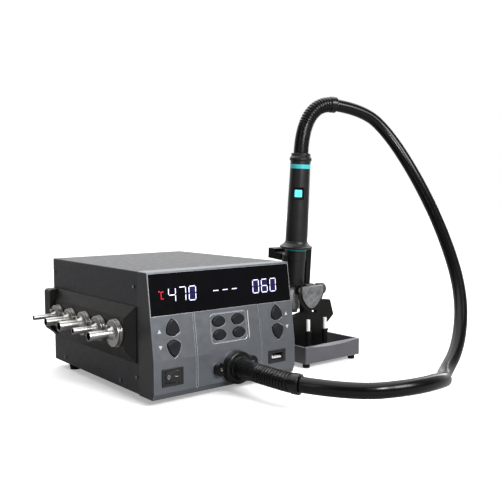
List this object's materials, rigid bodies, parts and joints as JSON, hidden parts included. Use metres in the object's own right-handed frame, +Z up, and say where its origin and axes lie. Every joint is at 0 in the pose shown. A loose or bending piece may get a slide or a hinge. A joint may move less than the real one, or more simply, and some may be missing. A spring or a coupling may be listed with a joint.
{
  "type": "hot air rework station",
  "caption": "Bench hot air station with a leaning front panel, an air hose to a handle standing in a tilting cradle on its tray stand, and spare nozzles on a side rack.",
  "frame": {"origin": "on the bench, under the middle of the object without its hose", "axes": "+X to the right of someone facing the front panel, +Y to the back, +Z up"},
  "size_m": [0.4672, 0.4311, 0.3465],
  "materials": {
    "painted_steel": "dark blue-grey fine textured paint",
    "chassis_steel": "dark grey paint",
    "bezel_grey": "satin metallic grey paint over a moulding",
    "gloss_black": "polished",
    "display_light": "lit bars",
    "white_print": "printed",
    "key_black": "satin",
    "switch_black": "semi gloss",
    "steel_bright": "turned and polished",
    "socket_steel": "plated",
    "rubber_black": "semi matte",
    "rack_black": "moulded",
    "board_green": "coated",
    "aluminium": "extruded",
    "core_steel": "laminated",
    "inner_plastic": "moulded",
    "handle_black": "satin",
    "turquoise": "satin",
    "turquoise_lit": "backlit",
    "ceramic": "fired ceramic",
    "stand_grey": "satin metallic grey paint",
    "stand_black": "semi gloss black paint",
    "shield_grey": "blasted",
    "screw_steel": "zinc plated",
    "knob_black": "knurled"
  },
  "bodies": {
    "station": {"bottom_chassis": "chassis_steel", "top_cover": "painted_steel", "unit_screws": "screw_steel", "rear_panel": "chassis_steel", "mains_inlet": "switch_black", "front_bezel": "bezel_grey", "display_window": "gloss_black", "display_board": "board_green", "display_digits": "display_light", "front_marks": "white_print", "switch_frame": "switch_black", "socket_shell": "switch_black", "socket_tongue": "socket_steel", "hose_gland": "rubber_black", "hose_cuff": "rubber_black", "hose": "rubber_black", "nozzle_rack": "rack_black", "control_board": "board_green", "power_board": "board_green", "transformer": "core_steel", "blower_housing": "inner_plastic", "blower_motor": "aluminium", "outlet_duct": "inner_plastic", "stand_base": "stand_grey", "rubber_feet": "rubber_black", "stand_post": "stand_black", "post_screws": "screw_steel", "stand_pegs": "steel_bright"},
    "handle": {"grip_front": "handle_black", "grip_rear": "handle_black", "button_frame": "gloss_black", "hand_guard": "handle_black", "lower_ring": "turquoise", "heater_cover": "handle_black", "heater_tube": "steel_bright", "heater_core": "ceramic", "upper_ring": "turquoise", "handle_collar": "handle_black", "handle_boot": "rubber_black"},
    "cradle": {"cradle": "stand_black", "clamp_plate": "shield_grey", "tilt_pin": "screw_steel"},
    "knob": {"tilt_knob": "knob_black"},
    "handle_button": {"handle_button": "turquoise_lit"},
    "fitted_nozzle": {"fitted_nozzle": "steel_bright"},
    "rocker": {"power_rocker": "switch_black"},
    "impeller": {"blower_impeller": "inner_plastic"},
    "preset_1": {"preset_button_1": "key_black"},
    "preset_2": {"preset_button_2": "key_black"},
    "preset_3": {"preset_button_3": "key_black"},
    "preset_4": {"preset_button_4": "key_black"},
    "key_temp_up": {"temp_up": "key_black"},
    "key_temp_down": {"temp_down": "key_black"},
    "key_air_up": {"air_up": "key_black"},
    "key_air_down": {"air_down": "key_black"},
    "stored_nozzle_1": {"nozzle_1": "steel_bright"},
    "stored_nozzle_2": {"nozzle_2": "steel_bright"},
    "stored_nozzle_3": {"nozzle_3": "steel_bright"},
    "stored_nozzle_4": {"nozzle_4": "steel_bright"},
    "stored_nozzle_5": {"nozzle_5": "steel_bright"}
  },
  "joints": [
    {"name": "power_rocker_tip", "type": "hinge", "parent": "station", "child": "rocker", "pos_m": [-0.121, -0.069, 0.03], "axis": [0, 0, 1], "range_deg": [0, 18]},
    {"name": "preset_1_press", "type": "slide", "parent": "station", "child": "preset_1", "axis": [0, 0.9905, -0.1376], "range_m": [0, 0.001], "stiffness_N_per_m": 500},
    {"name": "preset_2_press", "type": "slide", "parent": "station", "child": "preset_2", "axis": [0, 0.9905, -0.1376], "range_m": [0, 0.001], "stiffness_N_per_m": 500},
    {"name": "preset_3_press", "type": "slide", "parent": "station", "child": "preset_3", "axis": [0, 0.9905, -0.1376], "range_m": [0, 0.001], "stiffness_N_per_m": 500},
    {"name": "preset_4_press", "type": "slide", "parent": "station", "child": "preset_4", "axis": [0, 0.9905, -0.1376], "range_m": [0, 0.001], "stiffness_N_per_m": 500},
    {"name": "temp_up_press", "type": "slide", "parent": "station", "child": "key_temp_up", "axis": [0, 0.9905, -0.1376], "range_m": [0, 0.001], "stiffness_N_per_m": 500},
    {"name": "temp_down_press", "type": "slide", "parent": "station", "child": "key_temp_down", "axis": [0, 0.9905, -0.1376], "range_m": [0, 0.001], "stiffness_N_per_m": 500},
    {"name": "air_up_press", "type": "slide", "parent": "station", "child": "key_air_up", "axis": [0, 0.9905, -0.1376], "range_m": [0, 0.001], "stiffness_N_per_m": 500},
    {"name": "air_down_press", "type": "slide", "parent": "station", "child": "key_air_down", "axis": [0, 0.9905, -0.1376], "range_m": [0, 0.001], "stiffness_N_per_m": 500},
    {"name": "impeller_spin", "type": "hinge", "parent": "station", "child": "impeller", "pos_m": [-0.008, 0.089, 0.04], "axis": [0, 0, 1], "continuous": true},
    {"name": "nozzle_1_off", "type": "slide", "parent": "station", "child": "stored_nozzle_1", "axis": [-1, 0, 0], "range_m": [0, 0.014]},
    {"name": "nozzle_2_off", "type": "slide", "parent": "station", "child": "stored_nozzle_2", "axis": [-1, 0, 0], "range_m": [0, 0.014]},
    {"name": "nozzle_3_off", "type": "slide", "parent": "station", "child": "stored_nozzle_3", "axis": [-1, 0, 0], "range_m": [0, 0.014]},
    {"name": "nozzle_4_off", "type": "slide", "parent": "station", "child": "stored_nozzle_4", "axis": [-1, 0, 0], "range_m": [0, 0.014]},
    {"name": "nozzle_5_off", "type": "slide", "parent": "station", "child": "stored_nozzle_5", "axis": [-1, 0, 0], "range_m": [0, 0.014]},
    {"name": "cradle_tilt", "type": "hinge", "parent": "station", "child": "cradle", "pos_m": [0.135, 0.005, 0.09], "axis": [1, 0, 0], "range_deg": [-12, 12], "deforming": ["hose"]},
    {"name": "tilt_knob_turn", "type": "hinge", "parent": "cradle", "child": "knob", "pos_m": [0.157, 0.005, 0.09], "axis": [1, 0, 0], "range_deg": [-180, 0]},
    {"name": "handle_lift", "type": "slide", "parent": "cradle", "child": "handle", "axis": [0, -0.0785, 0.9969], "range_m": [0, 0.015]},
    {"name": "handle_button_press", "type": "slide", "parent": "handle", "child": "handle_button", "axis": [0.7071, 0.7049, 0.0555], "range_m": [0, 0.0008], "stiffness_N_per_m": 500},
    {"name": "fitted_nozzle_turn", "type": "hinge", "parent": "handle", "child": "fitted_nozzle", "pos_m": [0.135, 0.02911, 0.08187], "axis": [0, -0.0785, 0.9969], "range_deg": [-60, 60]}
  ]
}
